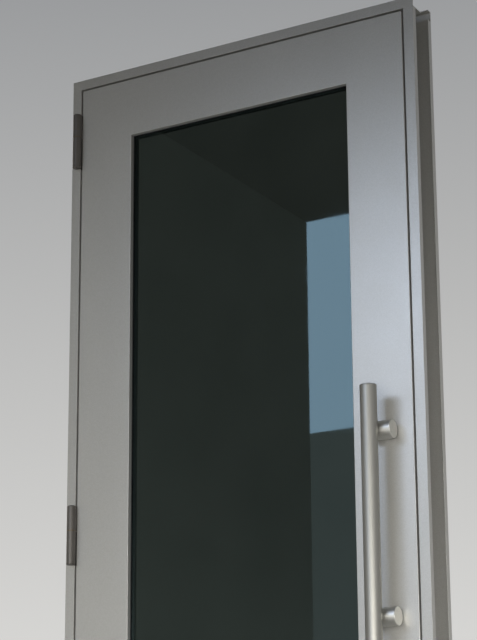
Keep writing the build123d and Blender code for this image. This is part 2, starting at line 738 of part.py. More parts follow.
def key_plug():
    """The turning core with its keyway, and the square tail that reaches into the cam."""
    core_end = CASE_FACE - RUNNING_FIT
    plug = lock_rod(COLLAR_FACE, core_end, PLUG) + lock_bar(core_end, tail_end(), PLUG_TAIL)
    return plug - box(SPINDLE_X - KEYWAY_WIDTH / 2, SPINDLE_X + KEYWAY_WIDTH / 2,
                      COLLAR_FACE - OVERCUT, COLLAR_FACE + KEYWAY_DEPTH,
                      LOCK_Z - KEYWAY_HEIGHT / 2, LOCK_Z + KEYWAY_HEIGHT / 2)


def strike_plate():
    plate = box(WEB_X - STRIKE_SHEET, WEB_X, -PLATE_WIDTH / 2, PLATE_WIDTH / 2,
                LOCK_Z - PLATE_HEIGHT / 2, LOCK_Z + PLATE_HEIGHT / 2)
    plate -= bolt_hole(WEB_X - STRIKE_SHEET * 2, WEB_X + STRIKE_SHEET, STRIKE_ROOM)
    for z in plate_screw_heights():
        plate -= screw((WEB_X - STRIKE_SHEET, 0, z), (1, 0, 0))
    return plate


def dust_box():
    """The box behind the strike that the bolt enters."""
    x0 = WEB_X + FRAME_SHEET
    outer = bolt_hole(x0, x0 + DUST_BOX_DEPTH, STRIKE_ROOM + DUST_BOX_WALL)
    return outer - bolt_hole(x0 - OVERCUT, x0 + DUST_BOX_DEPTH - DUST_BOX_WALL, STRIKE_ROOM)


def nodes():
    """Every piece, by the name of its file."""
    made = {
        "hinge_jamb": hinge_jamb(),
        "lock_jamb": lock_jamb(),
        "head": head(),
        "sill": sill(),
        "seal_hinge_side": side_seal(-1),
        "seal_lock_side": side_seal(1),
        "seal_head": cross_seal(HEAD_LINE - STOP_HEIGHT, LEAF_TOP),
        "seal_sill": cross_seal(LEAF_BOTTOM, SILL_TREAD + STOP_HEIGHT),
        "strike_plate": strike_plate(),
        "strike_dust_box": dust_box(),
        "frame_hinge_backing": frame_hinge_backing(),
        "frame_screws": frame_screws(),
        "hinge_washers": group([hinge_washer(height) for height in hinge_heights()]),
        "leaf_front_skin": front_skin(),
        "leaf_back_skin": back_skin(),
        "leaf_hinge_backing": leaf_hinge_backing(),
        "leaf_screws": leaf_screws(),
        "glass_pane": glass_pane(),
        "outer_gasket": around_opening(GLASS_BITE, 0, FRONT + REVEAL, GLASS_FRONT),
        "inner_gasket": around_opening(GLASS_BITE, 0, GLASS_BACK, BEAD_FRONT),
        "setting_blocks": setting_blocks(),
        "bead_screws": bead_screws(),
        "outer_pull_bar": pull_bar(),
        "inner_pull_bar": indoors(pull_bar()),
        "bar_screws": bar_screws(),
        "through_studs": through_studs(),
        "spacer_tubes": spacer_tubes(),
        "lock_case": lock_case(),
        "lock_face_plate": lock_face_plate(),
        "deadbolt": deadbolt(),
        "lock_cam": lock_cam(),
        "thumb_turn": thumb_turn(),
        "inner_rose": inner_rose(),
        "key_cylinder": key_cylinder(),
        "key_plug": key_plug(),
    }
    made.update(channels())
    for side in ("left", "right", "top", "bottom"):
        made["glazing_bead_" + side] = bead(side)
    for place, height in zip(("top", "middle", "bottom"), hinge_heights()):
        made["hinge_" + place + "_frame_leaf"] = frame_hinge_leaf(height)
        made["hinge_" + place + "_door_leaf"] = leaf_hinge_leaf(height)
        made["hinge_" + place + "_pin"] = hinge_pin(height)
    for place, height in zip(("lower", "upper"), post_heights()):
        made["outer_post_" + place] = barrel_post(height)
        made["inner_post_" + place] = indoors(barrel_post(height))
    return made


os.makedirs("parts", exist_ok=True)
for name, piece in nodes().items():
    export_step(piece, "parts/" + name + ".step")
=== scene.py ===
import math

import bmesh
import bpy
import numpy as np
from mathutils import Matrix, Vector


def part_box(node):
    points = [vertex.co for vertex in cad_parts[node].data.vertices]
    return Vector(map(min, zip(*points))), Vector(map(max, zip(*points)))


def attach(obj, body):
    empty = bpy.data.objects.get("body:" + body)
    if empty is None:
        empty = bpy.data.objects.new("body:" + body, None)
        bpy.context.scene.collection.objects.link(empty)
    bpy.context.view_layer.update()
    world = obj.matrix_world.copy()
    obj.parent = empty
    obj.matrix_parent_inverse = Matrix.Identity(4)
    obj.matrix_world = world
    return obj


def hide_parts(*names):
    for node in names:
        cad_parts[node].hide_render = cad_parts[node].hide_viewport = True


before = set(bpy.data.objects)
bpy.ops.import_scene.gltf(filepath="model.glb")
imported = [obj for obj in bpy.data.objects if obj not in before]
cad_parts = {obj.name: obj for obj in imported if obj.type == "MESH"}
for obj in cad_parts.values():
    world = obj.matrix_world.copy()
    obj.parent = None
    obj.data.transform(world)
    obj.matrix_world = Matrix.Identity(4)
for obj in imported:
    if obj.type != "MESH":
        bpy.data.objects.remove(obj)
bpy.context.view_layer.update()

# The door's sizes are in millimetres, in the CAD model's own frame. Light, floor and camera are in metres.
MM = 0.001
MERGE_WITHIN = 0.002
SHARP_FROM_DEGREES = 32.0
LATHE_STEPS = 96
ARC_STEPS = 6

# Pull bars
CAP_CROWN = 0.5
CAP_CROWN_STEPS = 7
CAP_EDGE = 1.5
CAP_SEAM_AT = 4.0
CAP_SEAM = 0.5
BAR_SIDE_MARGIN = 2.0
BAR_SIDE_STEPS = 24

# Screws: a head's recess is given in shares of the head's width
PLATE_SCREW = dict(size=5.0, head=9.0, sink=2.2, length=12.0)
BEAD_SCREW = dict(size=3.5, head=6.5, sink=0.8, length=16.0)
SCREW_SIDES = 32
HEAD_RINGS = 15
HEAD_EDGE = 0.25
RECESS_REACH, RECESS_ARM, RECESS_DEPTH = 0.34, 0.075, 0.2
RECESS_WALL_SLOPE, RECESS_END_SLOPE = 0.5, 0.35
THREAD_PITCH = 1.6
THREAD_HEIGHT = 0.35
THREAD_STEPS = 5
NECK_RUN, THREAD_START = 0.3, 0.4
TIP_LENGTH, TIP_SHARE = 2.0, 0.15

# Screw places
LEAF_EDGE = 450.0
JAMB_WEB = 455.0
HINGES = ("top", "middle", "bottom")
HINGE_PLATE = 3.5
HINGE_SCREW_ROW = -3.0
HINGE_SCREW_STAGGER = 7.0
HINGE_SCREWS = 3
SCREW_MARGIN = 13.0
BEAD_SCREW_DEPTH = 13.0
BEAD_SCREW_PITCH = 300.0

# Seals and gaskets: a seal's lobe is given in shares of the seal's width and depth
LOBE_HALF, LOBE_RISE = 0.25, 0.75
LOBE_STEPS = 15
SEAL_STATIONS = 40
GASKET_BITE = 8.0
GASKET_LIP = 1.4
GASKET_STEPS = 11

# Studio, in metres
PALE = "#e2e1de"
OVERHEAD = "#8c8e91"
GREYS_FROM, GREYS_TO = 0.05, 0.5
ROOM_LIGHT = 0.24
FLOOR_REACH = 40.0
FADE_START = 0.3
FADE_NEAR, FADE_FAR = 0.8, 2.8
FLAG_LEFT, FLAG_RIGHT = -1.373, 1.6
FLAG_NEAR, FLAG_FAR = -2.93, -0.3
FLAG_FOOT, FLAG_TOP = 0.85, 3.05

# Camera: its lens and sensor are in millimetres, its roll in degrees
CAMERA_AT = (2.22121, -3.83677, 0.27517)
CAMERA_SIGHT = (-0.48558, 0.83573, 0.25645)
CAMERA_ROLL = 0.393
CAMERA_LENS = 110.085
CAMERA_SENSOR = 36.0
CAMERA_RISE = 0.12


# Small tools for materials

def linear(code):
    """The linear colour of an sRGB hex value."""
    parts = [int(code[i:i + 2], 16) / 255 for i in (1, 3, 5)]
    return [p / 12.92 if p <= 0.04045 else ((p + 0.055) / 1.055) ** 2.4 for p in parts] + [1.0]


def add(tree, kind, sockets=None, **settings):
    """Adds a node of a kind with its settings, and fills its sockets with values or other nodes' outputs."""
    node = tree.nodes.new("ShaderNode" + kind)
    for name, value in settings.items():
        setattr(node, name, value)
    for name, value in (sockets or {}).items():
        socket = node.inputs[name]
        if isinstance(value, bpy.types.NodeSocket):
            tree.links.new(value, socket)
        else:
            socket.default_value = value
    return node


def per_metre(millimetres):
    """The texture scale at which a pattern repeats every so many millimetres."""
    return 1000.0 / millimetres


def start(name, colour, metallic, roughness, **sockets):
    """A material with one surface shader and its object coordinates."""
    material = bpy.data.materials.new(name)
    material.use_nodes = True
    tree = material.node_tree
    shader = tree.nodes["Principled BSDF"]
    shader.inputs["Base Color"].default_value = linear(colour)
    shader.inputs["Metallic"].default_value = metallic
    shader.inputs["Roughness"].default_value = roughness
    for socket, value in sockets.items():
        shader.inputs[socket.replace("_", " ")].default_value = value
    place = add(tree, "TexCoord").outputs["Object"]
    return material, tree, shader, place


def feed(tree, shader, **outputs):
    """Links nodes' outputs to the surface shader's sockets."""
    for socket, output in outputs.items():
        tree.links.new(output, shader.inputs[socket.replace("_", " ")])


def noise(tree, place, millimetres, detail=2.0, stretch=(1.0, 1.0, 1.0)):
    """A soft random pattern with features of about that size, drawn out along an axis whose stretch is
    small."""
    moved = add(tree, "Mapping", {"Vector": place, "Scale": stretch}).outputs["Vector"]
    sockets = {"Vector": moved, "Scale": per_metre(millimetres), "Detail": detail}
    return add(tree, "TexNoise", sockets).outputs["Fac"]


def cells(tree, place, millimetres, channel):
    """Patches of about that size with a random value each."""
    colour = add(tree, "TexVoronoi", {"Vector": place, "Scale": per_metre(millimetres)}).outputs["Color"]
    return add(tree, "SeparateColor", {"Color": colour}).outputs[channel]


def spread(tree, value, low, high, start_at=0.3, end_at=0.7):
    """Takes a pattern's values from its usual range to the one between low and high."""
    sockets = {"Value": value, "From Min": start_at, "From Max": end_at, "To Min": low, "To Max": high}
    return add(tree, "MapRange", sockets).outputs["Result"]


def blend_colours(tree, share, first, second):
    """A colour between two hex values or outputs, by a share from 0 to 1."""
    # A Mix node's colours go in at its sockets 6 and 7, and come out at 2
    mix = add(tree, "Mix", data_type="RGBA")
    tree.links.new(share, mix.inputs[0])
    for socket, value in ((mix.inputs[6], first), (mix.inputs[7], second)):
        if isinstance(value, str):
            socket.default_value = linear(value)
        else:
            tree.links.new(value, socket)
    return mix.outputs[2]


def bump(tree, height, millimetres, strength=1.0, eased=0.0):
    """A fine relief of that height, on edges that may be eased by a radius."""
    sockets = {"Height": height, "Distance": millimetres * MM, "Strength": strength}
    if eased:
        edges = add(tree, "Bevel", {"Radius": eased * MM}, samples=6)
        sockets["Normal"] = edges.outputs["Normal"]
    return add(tree, "Bump", sockets).outputs["Normal"]


# Materials

def silver_powder_coat(name, pale, deep):
    """Polyester powder coat, silver with aluminium flake, stoved: satin, a faint orange peel, a cool grey
    that lightens and darkens softly with the light round it."""
    material, tree, shader, place = start(name, pale, 0.4, 0.34, Coat_Weight=0.15, Coat_Roughness=0.3)
    cloud = spread(tree, noise(tree, place, 420.0, detail=3.0, stretch=(1.0, 1.0, 0.45)), 0.0, 0.6)
    # Real flake is under 0.1 mm, so it is drawn at 1.2 mm to show at all
    flake = cells(tree, place, 1.2, "Red")
    sheet = blend_colours(tree, cloud, pale, deep)
    glint = spread(tree, flake, 0.0, 0.16, start_at=0.0, end_at=1.0)
    sparkle = blend_colours(tree, glint, sheet, "#e3e5e7")
    rough = spread(tree, noise(tree, place, 55.0, detail=4.0), 0.33, 0.36)
    peel = bump(tree, noise(tree, place, 2.6, detail=1.0), 0.03, strength=0.35, eased=1.3)
    feed(tree, shader, Base_Color=sparkle, Roughness=rough, Normal=peel)
    return material


def satin_stainless(name, along, colour, band_colour, rough, drawn):
    """Stainless steel ground with a 240 grit belt: fine scratches along the grind, and a soft highlight
    that is stretched by the share drawn."""
    material, tree, shader, place = start(name, colour, 1.0, rough, Anisotropic=drawn)
    stretch = tuple(0.02 if axis == along else 1.0 for axis in "XYZ")
    # Grit scratches are 0.06 mm apart, and are drawn at 0.5 mm to show
    scratch = noise(tree, place, 0.5, detail=3.0, stretch=stretch)
    band = spread(tree, noise(tree, place, 9.0, stretch=stretch), 0.0, 1.0)
    feed(tree, shader, Base_Color=blend_colours(tree, band, colour, band_colour),
         Roughness=spread(tree, scratch, rough - 0.04, rough + 0.06),
         Normal=bump(tree, scratch, 0.02, strength=0.05, eased=0.6))
    return material


def bronze_lacquer(name):
    """Steel with a baked dark bronze lacquer: brown-grey, half gloss, worn a little paler on the edges."""
    material, tree, shader, place = start(name, "#47433f", 0.35, 0.42, Coat_Weight=0.12, Coat_Roughness=0.25)
    mottled = spread(tree, noise(tree, place, 6.0, detail=4.0), 0.0, 1.0)
    base = blend_colours(tree, mottled, "#484440", "#3b3835")
    edges = add(tree, "NewGeometry").outputs["Pointiness"]
    worn = spread(tree, edges, 0.0, 0.6, start_at=0.52, end_at=0.6)
    feed(tree, shader, Base_Color=blend_colours(tree, worn, base, "#625e59"),
         Roughness=spread(tree, mottled, 0.33, 0.46, start_at=0.0, end_at=1.0),
         Normal=bump(tree, noise(tree, place, 1.5), 0.03, strength=0.4, eased=0.7))
    return material


def glass_tint_and_painted_shade(name):
    """Toughened float glass, tinted grey-green, with its colour painted nearly black as the painted shade of
    a dark room
    behind it: mirror-smooth, with the faint waves that the furnace rollers leave every 250 mm."""
    # The near-black base colour is painted shade of a dark room behind the glass, over its real grey-green
    # tint.
    material, tree, shader, place = start(name, "#0b0e0d", 0.0, 0.0, IOR=1.52, Transmission_Weight=1.0,
                                          Specular_Tint=linear("#d3faff"))
    film = noise(tree, place, 160.0, detail=4.0)
    # A wave texture turns 20 radians in a unit
    scale = per_metre(250.0) * 2 * math.pi / 20
    rollers = add(tree, "TexWave", {"Vector": place, "Scale": scale, "Distortion": 1.5, "Detail": 0.0},
                  bands_direction="Z", wave_profile="SIN")
    feed(tree, shader, Base_Color=blend_colours(tree, spread(tree, film, 0.0, 1.0), "#0b0e0d", "#0d100f"),
         Roughness=spread(tree, film, 0.0, 0.03),
         Normal=bump(tree, rollers.outputs["Fac"], 0.02, strength=0.5))
    return material


def rubber(name):
    """EPDM rubber, extruded: near black, dull, finely grained, with a grey bloom here and there."""
    material, tree, shader, place = start(name, "#1b1c1d", 0.0, 0.62, Specular_IOR_Level=0.35)
    bloom = spread(tree, noise(tree, place, 35.0, detail=3.0), 0.0, 0.5, start_at=0.45, end_at=0.75)
    feed(tree, shader, Base_Color=blend_colours(tree, bloom, "#191a1b", "#34363a"),
         Roughness=spread(tree, bloom, 0.55, 0.75, start_at=0.0, end_at=0.5),
         Normal=bump(tree, noise(tree, place, 0.8), 0.04, strength=0.4))
    return material


def zinc_spangle(name):
    """Hot-dip galvanised sheet: dull blue-grey with crystal patches of about 12 mm."""
    material, tree, shader, place = start(name, "#9aa0a4", 0.9, 0.45)
    crystal = cells(tree, place, 12.0, "Green")
    feed(tree, shader, Base_Color=blend_colours(tree, crystal, "#8d9397", "#b0b6ba"),
         Roughness=spread(tree, crystal, 0.35, 0.58, start_at=0.0, end_at=1.0),
         Normal=bump(tree, noise(tree, place, 3.0), 0.02, strength=0.3, eased=0.8))
    return material


def bright_metal(name, first, second, rough, patch=4.0):
    """A smooth metal face, plated, ground or turned: even and bright, with faint cloudy patches."""
    material, tree, shader, place = start(name, first, 1.0, rough)
    cloud = spread(tree, noise(tree, place, patch, detail=3.0), 0.0, 1.0)
    feed(tree, shader, Base_Color=blend_colours(tree, cloud, first, second),
         Roughness=spread(tree, cloud, rough - 0.04, rough + 0.08, start_at=0.0, end_at=1.0),
         Normal=bump(tree, noise(tree, place, 0.4), 0.01, strength=0.3, eased=0.3))
    return material


def block_polymer(name):
    """Polypropylene setting blocks, moulded: black, waxy, finely grained."""
    material, tree, shader, place = start(name, "#232425", 0.0, 0.5)
    grain = noise(tree, place, 1.2, detail=3.0)
    feed(tree, shader, Base_Color=blend_colours(tree, spread(tree, grain, 0.0, 1.0), "#1f2021", "#2c2d2f"),
         Normal=bump(tree, grain, 0.05, strength=0.5, eased=0.5))
    return material


leaf_coat = silver_powder_coat("silver_powder_coat_leaf", "#b1b0ac", "#a3a29e")
frame_coat = silver_powder_coat("silver_powder_coat_frame", "#adaca8", "#9f9e9a")
bead_coat = silver_powder_coat("silver_powder_coat_beads", "#a9a8a4", "#9b9a96")
# The bars' stainless steel is painted darker than the other stainless parts: painted shade that dulls them.
bar_steel_painted_shade = satin_stainless("satin_stainless_bars_painted_shade", "Z", "#9e9d98", "#989792", 0.46, 0.3)
# The posts' stainless steel is painted much paler than the bars': painted light, as if lit by bright sky
# from above.
barrel_steel_painted_light = satin_stainless("satin_stainless_barrels_painted_light", "X", "#d6d5d0", "#cecdc8", 0.44, 0.0)
sheet_steel = satin_stainless("satin_stainless_sheet", "X", "#b4b4b0", "#a8a8a4", 0.32, 0.45)
plate_steel = satin_stainless("satin_stainless_plates", "Z", "#b8b8b4", "#acaca8", 0.3, 0.45)
hinge_lacquer = bronze_lacquer("bronze_lacquered_steel")
glass = glass_tint_and_painted_shade("toughened_glass_painted_dark")
epdm = rubber("epdm_rubber")
galvanised = zinc_spangle("galvanised_sheet")
zinc = bright_metal("zinc_plated_steel", "#c3c6c8", "#b3b4ac", 0.3)
ground_steel = bright_metal("hardened_ground_steel", "#8f9294", "#7d8082", 0.22)
bearing_bronze = bright_metal("oiled_bearing_bronze", "#6e6148", "#5b503c", 0.4)
nickel = bright_metal("satin_nickel_on_brass", "#c0bcb3", "#b1ada4", 0.3, patch=8.0)
polymer = block_polymer("black_polypropylene")

NODE_FINISHES = {
    leaf_coat: ["leaf_front_skin", "leaf_back_skin"],
    frame_coat: ["hinge_jamb", "lock_jamb", "head"],
    bead_coat: ["glazing_bead_" + side for side in ("left", "right", "top", "bottom")],
    bar_steel_painted_shade: ["outer_pull_bar", "inner_pull_bar"],
    barrel_steel_painted_light: ["outer_post_lower", "outer_post_upper", "inner_post_lower", "inner_post_upper"],
    sheet_steel: ["sill"],
    plate_steel: ["strike_plate", "lock_face_plate"],
    hinge_lacquer: [f"hinge_{hinge}_{half}" for hinge in HINGES for half in ("frame_leaf", "door_leaf")],
    glass: ["glass_pane"],
    epdm: ["outer_gasket", "inner_gasket", "seal_hinge_side", "seal_lock_side", "seal_head", "seal_sill"],
    galvanised: ["strike_dust_box", "frame_hinge_backing", "leaf_hinge_backing", "lock_case",
                 "hinge_side_channel", "lock_side_channel", "top_channel", "bottom_channel",
                 "window_channel_left", "window_channel_right", "window_channel_head",
                 "window_channel_sill"],
    zinc: ["frame_screws", "leaf_screws", "bead_screws", "bar_screws", "through_studs", "spacer_tubes",
           "lock_cam"],
    ground_steel: [f"hinge_{hinge}_pin" for hinge in HINGES] + ["deadbolt"],
    bearing_bronze: ["hinge_washers"],
    nickel: ["thumb_turn", "inner_rose", "key_cylinder", "key_plug"],
    polymer: ["setting_blocks"],
}
for finish, names in NODE_FINISHES.items():
    for node in names:
        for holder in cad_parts[node].material_slots:
            holder.material = finish


# Small tools for surfaces

def corners_of(node):
    """The low and the high corner of a CAD node's box, in millimetres."""
    return [np.array(corner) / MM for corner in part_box(node)]


def surface(points, ring=False):
    """Points on a grid of two parameters with the quads between neighbours. Each row closes on itself, and
    in a ring the last row closes on the first."""
    rows, columns = points.shape[:2]
    number = np.arange(rows * columns).reshape(rows, columns)
    if ring:
        number = np.vstack([number, number[:1]])
    number = np.hstack([number, number[:, :1]])
    corners = [number[:-1, :-1], number[:-1, 1:], number[1:, 1:], number[1:, :-1]]
    return points.reshape(-1, 3), np.stack(corners, axis=-1).reshape(-1, 4)


def piece(name, surfaces, finish, body, node):
    """One mesh object from several surfaces, merged at its seams and poles, that stands for a CAD node."""
    starts = np.cumsum([0] + [len(points) for points, _ in surfaces[:-1]])
    points = np.concatenate([points for points, _ in surfaces]) * MM
    quads = np.concatenate([quads + first for (_, quads), first in zip(surfaces, starts)])
    mesh = bpy.data.meshes.new(name)
    mesh.from_pydata(points.tolist(), [], quads.tolist())
    work = bmesh.new()
    work.from_mesh(mesh)
    bmesh.ops.remove_doubles(work, verts=work.verts, dist=MERGE_WITHIN * MM)
    bmesh.ops.recalc_face_normals(work, faces=work.faces)
    work.to_mesh(mesh)
    work.free()
    mesh.shade_smooth()
    mesh.set_sharp_from_angle(angle=math.radians(SHARP_FROM_DEGREES))
    mesh.materials.append(finish)
    made = bpy.data.objects.new(name, mesh)
    bpy.context.scene.collection.objects.link(made)
    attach(made, body)
    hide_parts(node)


def rounded(corner_a, corner_b, centre):
    """An arc from one profile point to another round a centre, both at the same distance from it."""
    a, b = np.subtract(corner_a, centre), np.subtract(corner_b, centre)
    turn = np.linspace(math.atan2(a[1], a[0]), math.atan2(b[1], b[0]), ARC_STEPS)
    radius = np.hypot(*a)
    return np.stack([centre[0] + radius * np.cos(turn), centre[1] + radius * np.sin(turn)], axis=1)


def lathe_upright(centre, profile):
    """A profile of radius r and height h turned about an upright axis: x = cx + r cos t, y = cy + r sin t,
    z = h."""
    turn = np.linspace(0, 2 * math.pi, LATHE_STEPS, endpoint=False)
    radius, height = profile[:, :1], profile[:, 1:]
    points = [centre[0] + radius * np.cos(turn), centre[1] + radius * np.sin(turn),
              np.broadcast_to(height, (len(profile), LATHE_STEPS))]
    return surface(np.stack(points, axis=-1))


# Pull bars

def cap_profile(radius, end, inward):
    """Half of a bar's section at one end: a cap whose crown grows with the square of the radius, a ground
    edge and the fine seam of the weld."""
    flat = radius - CAP_EDGE
    crown = np.linspace(0, flat, CAP_CROWN_STEPS)
    rise = CAP_CROWN * (crown / flat) ** 2
    cap = np.stack([crown, end + inward * rise], axis=1)
    side = end + inward * (CAP_CROWN + CAP_EDGE)
    edge = rounded((flat, end + inward * CAP_CROWN), (radius, side), (flat, side))
    seam = end + inward * CAP_SEAM_AT
    half = CAP_SEAM / 2
    groove = [(radius, seam), (radius - half, seam + inward * half), (radius, seam + inward * CAP_SEAM)]
    return np.concatenate([cap, edge, groove])


def pull_bar(name, node):
    """A closed tube: both caps' sections joined by a straight side, turned about the bar's axis."""
    low, high = corners_of(node)
    centre, radius = (low + high) / 2, (high[0] - low[0]) / 2
    lower = cap_profile(radius, low[2], 1)
    upper = cap_profile(radius, high[2], -1)[::-1]
    run = np.linspace(lower[-1, 1] + BAR_SIDE_MARGIN, upper[0, 1] - BAR_SIDE_MARGIN, BAR_SIDE_STEPS)
    side = np.stack([np.full_like(run, radius), run], axis=1)
    turned = lathe_upright(centre, np.concatenate([lower, side, upper]))
    piece(name, [turned], bar_steel_painted_shade, "leaf", node)


pull_bar("pull_bar_outdoors", "outer_pull_bar")
pull_bar("pull_bar_indoors", "inner_pull_bar")


# Screws with a cross recess and a rolled thread

def placer(at, way):
    """A function that gives the points so far across, so far sideways and so deep from a screw's head."""
    way = np.array(way, float)
    side = np.array([0.0, 1.0, 0.0])
    other = np.cross(way, side)

    def put(across, sideways, deep):
        return (np.array(at) + across[..., None] * side + sideways[..., None] * other
                + deep[..., None] * way)
    return put


def cross_recess(across, sideways, head):
    """How deep the cross is at a point: full inside either arm, sloping at its walls and its ends."""
    reach, arm = head * RECESS_REACH, head * RECESS_ARM
    radius = np.hypot(across, sideways)
    from_wall = arm - np.minimum(abs(across), abs(sideways))
    wall = np.clip(from_wall / (arm * RECESS_WALL_SLOPE), 0, 1)
    end = np.clip((reach - radius) / (reach * RECESS_END_SLOPE), 0, 1)
    return head * RECESS_DEPTH * wall * end


def screw(at, way, size, head, sink, length):
    """A countersunk screw: a flat head with a cross recess, a cone, and a shank whose radius is
    core + thread * triangle(depth / pitch - turn), pointed at the tip."""
    put = placer(at, way)
    turn = np.linspace(0, 2 * math.pi, SCREW_SIDES, endpoint=False)
    ring = np.linspace(0, 1, HEAD_RINGS)[:, None] * head / 2
    across, sideways = ring * np.cos(turn), ring * np.sin(turn)
    face = put(across, sideways, cross_recess(across, sideways, head))
    core = size / 2 - THREAD_HEIGHT
    cone = np.array([[head / 2, HEAD_EDGE], [size / 2, sink], [core, sink + NECK_RUN]])
    deep = np.arange(sink + THREAD_START, length, THREAD_PITCH / THREAD_STEPS)[:, None]
    phase = (deep / THREAD_PITCH - turn / (2 * math.pi)) % 1.0
    tip = np.clip((length - deep) / TIP_LENGTH, TIP_SHARE, 1)
    shank = (core + THREAD_HEIGHT * (1 - abs(2 * phase - 1))) * tip
    cone_rings = (len(cone), SCREW_SIDES)
    radius = np.concatenate([np.broadcast_to(cone[:, :1], cone_rings), shank, np.zeros((1, SCREW_SIDES))])
    down = np.concatenate([np.broadcast_to(cone[:, 1:], cone_rings), np.broadcast_to(deep, shank.shape),
                           np.full((1, SCREW_SIDES), length)])
    body = put(radius * np.cos(turn), radius * np.sin(turn), down)
    return surface(np.concatenate([face, body]))


def hinge_screws(half, face, way):
    """The screws of one half of the hinges, in a shallow zigzag up each plate."""
    screws = []
    for hinge in HINGES:
        low, high = corners_of(f"hinge_{hinge}_{half}")
        heights = np.linspace(low[2] + SCREW_MARGIN, high[2] - SCREW_MARGIN, HINGE_SCREWS)
        for row, height in enumerate(heights):
            stagger = HINGE_SCREW_STAGGER if row % 2 else -HINGE_SCREW_STAGGER
            screws.append(screw((face, HINGE_SCREW_ROW + stagger, height), (way, 0, 0), **PLATE_SCREW))
    return screws


def lock_screws(node, way):
    """The two screws of a plate at the lock, near its ends."""
    low, high = corners_of(node)
    face = low[0] if way > 0 else high[0]
    heights = (low[2] + SCREW_MARGIN, high[2] - SCREW_MARGIN)
    return [screw((face, 0, height), (way, 0, 0), **PLATE_SCREW) for height in heights]


def window_opening():
    """The left, right, low and high edges of the window's opening, which the gasket passes by its bite."""
    low, high = corners_of("outer_gasket")
    return low[0] + GASKET_BITE, high[0] - GASKET_BITE, low[2] + GASKET_BITE, high[2] - GASKET_BITE


def bead_screws():
    """The screws that hold the glazing beads, spread evenly round the opening."""
    left, right, low, high = window_opening()
    rows = int((high - low) // BEAD_SCREW_PITCH)
    columns = int((right - left) // BEAD_SCREW_PITCH)
    heights = low + (high - low) * (np.arange(rows) + 0.5) / rows
    widths = left + (right - left) * (np.arange(columns) + 0.5) / columns
    depth = BEAD_SCREW_DEPTH
    upright = [((x, depth, z), (way, 0, 0)) for z in heights for x, way in ((left, -1), (right, 1))]
    level = [((x, depth, z), (0, 0, way)) for x in widths for z, way in ((low, -1), (high, 1))]
    return [screw(at, way, **BEAD_SCREW) for at, way in upright + level]


jamb_screws = hinge_screws("frame_leaf", HINGE_PLATE - JAMB_WEB, -1) + lock_screws("strike_plate", 1)
edge_screws = hinge_screws("door_leaf", -HINGE_PLATE - LEAF_EDGE, 1) + lock_screws("lock_face_plate", -1)
piece("screws_in_the_frame", jamb_screws, zinc, "frame", "frame_screws")
piece("screws_in_the_leaf", edge_screws, zinc, "leaf", "leaf_screws")
piece("screws_of_the_beads", bead_screws(), zinc, "leaf", "bead_screws")


# Seals and gaskets

def seal_profile():
    """A strip's section across its width and out from the stop, both from 0 to 1: a foot with two bulbs side
    by side and a hollow between. A bulb is across = half (1 - cos t), out = 1 - rise (1 - sin t)."""
    turn = np.linspace(0, math.pi, LOBE_STEPS)
    lobe = np.stack([LOBE_HALF * (1 - np.cos(turn)), 1 - LOBE_RISE * (1 - np.sin(turn))], axis=1)
    return np.concatenate([[(0.0, 0.0)], lobe, lobe[1:] + (2 * LOBE_HALF, 0.0), [(1.0, 0.0)]])


def seal(name, node, along):
    """The profile carried straight along the strip's box, with its ends closed."""
    low, high = corners_of(node)
    size = high - low
    across = 2 if along == 0 else 0
    profile = seal_profile()
    stations = np.linspace(0, 1, SEAL_STATIONS)
    points = np.empty((SEAL_STATIONS + 2, len(profile), 3))
    points[1:-1, :, along] = low[along] + stations[:, None] * size[along]
    points[1:-1, :, across] = low[across] + profile[:, 0] * size[across]
    points[1:-1, :, 1] = high[1] - profile[:, 1] * size[1]
    points[0] = points[1].mean(axis=0)
    points[-1] = points[-2].mean(axis=0)
    piece(name, [surface(points)], epdm, "frame", node)


seal("weather_seal_hinge_side", "seal_hinge_side", along=2)
seal("weather_seal_lock_side", "seal_lock_side", along=2)
seal("weather_seal_head", "seal_head", along=0)
seal("weather_seal_sill", "seal_sill", along=0)


def gasket(name, node):
    """A strip's section carried round the opening with mitred corners: flat under the skin's edge, and
    rounded where it swells into the opening, by lip * cos t over half the thickness * sin t."""
    outer, inner = (corner[1] for corner in corners_of(node))
    turn = np.linspace(-math.pi / 2, math.pi / 2, GASKET_STEPS)
    half, middle = (inner - outer) / 2, (inner + outer) / 2
    edge = np.stack([-GASKET_LIP * np.cos(turn), middle + half * np.sin(turn)], axis=1)
    profile = np.concatenate([[(GASKET_BITE, outer)], edge, [(GASKET_BITE, inner)]])
    left, right, low, high = window_opening()
    margin, depth = profile[:, 0], profile[:, 1]
    corners = [(left - margin, low - margin), (right + margin, low - margin),
               (right + margin, high + margin), (left - margin, high + margin)]
    points = np.stack([np.stack([x, depth, z], axis=-1) for x, z in corners])
    piece(name, [surface(points, ring=True)], epdm, "leaf", node)


gasket("glazing_gasket_outdoors", "outer_gasket")
gasket("glazing_gasket_indoors", "inner_gasket")


# Backdrop, floor, light and camera

